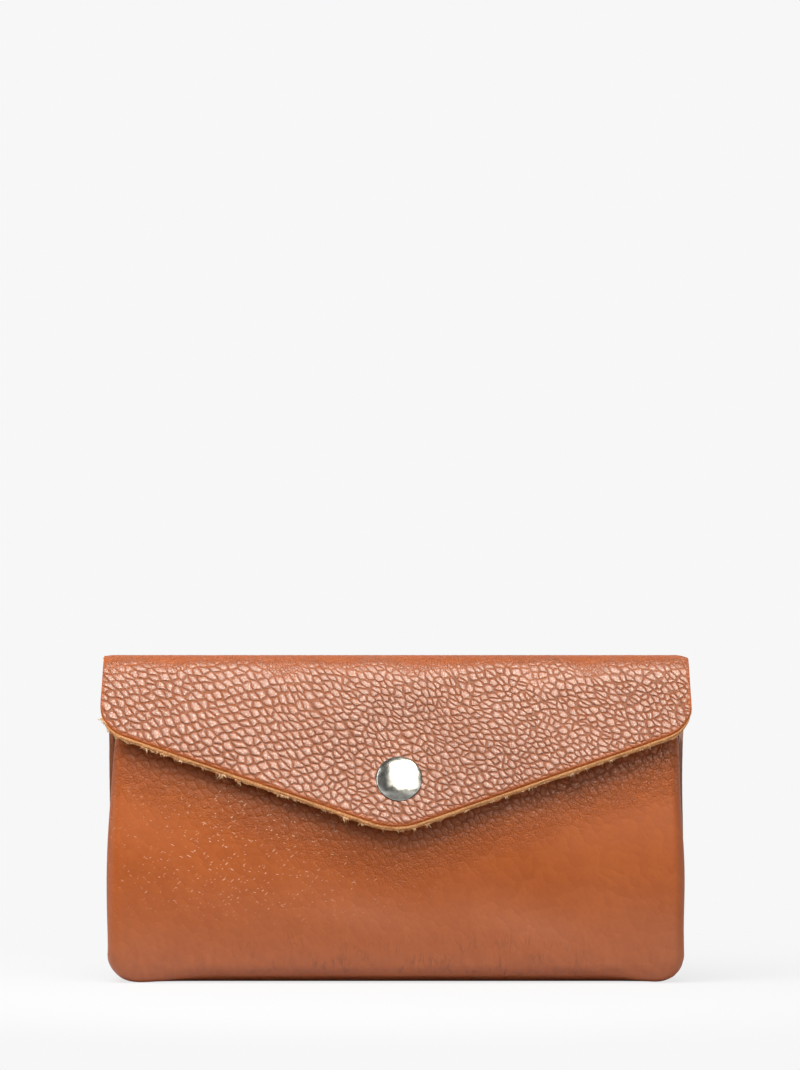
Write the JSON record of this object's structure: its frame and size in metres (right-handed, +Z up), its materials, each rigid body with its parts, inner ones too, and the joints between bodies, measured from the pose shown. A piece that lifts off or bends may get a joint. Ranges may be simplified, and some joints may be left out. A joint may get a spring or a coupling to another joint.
{
  "type": "long wallet",
  "caption": "Long leather envelope wallet: a pointed press-stud flap over gusseted compartments, with a zipped coin pocket and card slots.",
  "frame": {"origin": "middle of the flat sole that the wallet stands on", "axes": "+X across the width to the wearer's view right, -Y out of the front, +Z up"},
  "size_m": [0.19, 0.0313, 0.1048],
  "materials": {
    "outer_leather": "tan, tumbled pebble grain, semi-gloss, raw cut flap edge",
    "inner_leather": "tan, smooth and matt",
    "zip_tape": "brown woven tape",
    "zip_metal": "nickel plated",
    "snap_metal": "polished nickel"
  },
  "bodies": {
    "case": {"back_panel": "outer_leather", "base_panel": "outer_leather", "gusset_rear_left": "inner_leather", "gusset_rear_right": "inner_leather", "gusset_front_left": "inner_leather", "gusset_front_right": "inner_leather"},
    "front": {"front_panel": "outer_leather", "snap_stud": "snap_metal", "snap_eyelet": "snap_metal"},
    "coin_pocket": {"pocket_front_wall": "inner_leather", "pocket_back_wall": "inner_leather", "card_tier_top": "inner_leather", "card_tier_middle": "inner_leather", "card_tier_bottom": "inner_leather", "zip_tape_front": "zip_tape", "zip_tape_back": "zip_tape", "zip_teeth_front": "zip_metal", "zip_teeth_back": "zip_metal", "zip_top_stops": "zip_metal", "zip_bottom_stop": "zip_metal"},
    "fold": {"flap_fold": "outer_leather"},
    "flap": {"flap": "outer_leather", "snap_cap": "snap_metal", "snap_socket": "snap_metal", "snap_spring": "snap_metal"},
    "slider": {"zip_slider": "zip_metal"},
    "pull": {"zip_pull": "zip_metal"}
  },
  "joints": [
    {"name": "flap_swing", "type": "hinge", "parent": "case", "child": "fold", "pos_m": [0, 0.00885, 0.10187], "axis": [-1, 0, 0], "range_deg": [0, 120]},
    {"name": "flap_bend", "type": "hinge", "parent": "fold", "child": "flap", "pos_m": [0, -0.00147, 0.10387], "axis": [-1, 0, 0], "range_deg": [0, 90]},
    {"name": "front_tilt", "type": "hinge", "parent": "case", "child": "front", "pos_m": [0, -0.01301, 0.00615], "axis": [1, 0, 0], "range_deg": [0, 12], "deforming": ["gusset_front_left", "gusset_front_right"]},
    {"name": "pocket_tilt", "type": "hinge", "parent": "case", "child": "coin_pocket", "pos_m": [0, 0.00196, 0.0017], "axis": [1, 0, 0], "range_deg": [0, 6], "deforming": ["gusset_rear_left", "gusset_rear_right"]},
    {"name": "zip_slide", "type": "slide", "parent": "coin_pocket", "child": "slider", "axis": [-1, 0, 0], "range_m": [0, 0.123], "deforming": ["zip_teeth_front", "zip_teeth_back"]},
    {"name": "pull_swing", "type": "hinge", "parent": "slider", "child": "pull", "pos_m": [0.06345, 0.00196, 0.0824], "axis": [0, 1, 0], "range_deg": [0, 150]}
  ],
  "couplings": [
    {"joint": "flap_bend", "follows": "flap_swing", "ratio": 0.75},
    {"joint": "front_tilt", "follows": "flap_swing", "ratio": 0.1},
    {"joint": "pocket_tilt", "follows": "flap_swing", "ratio": 0.05}
  ]
}
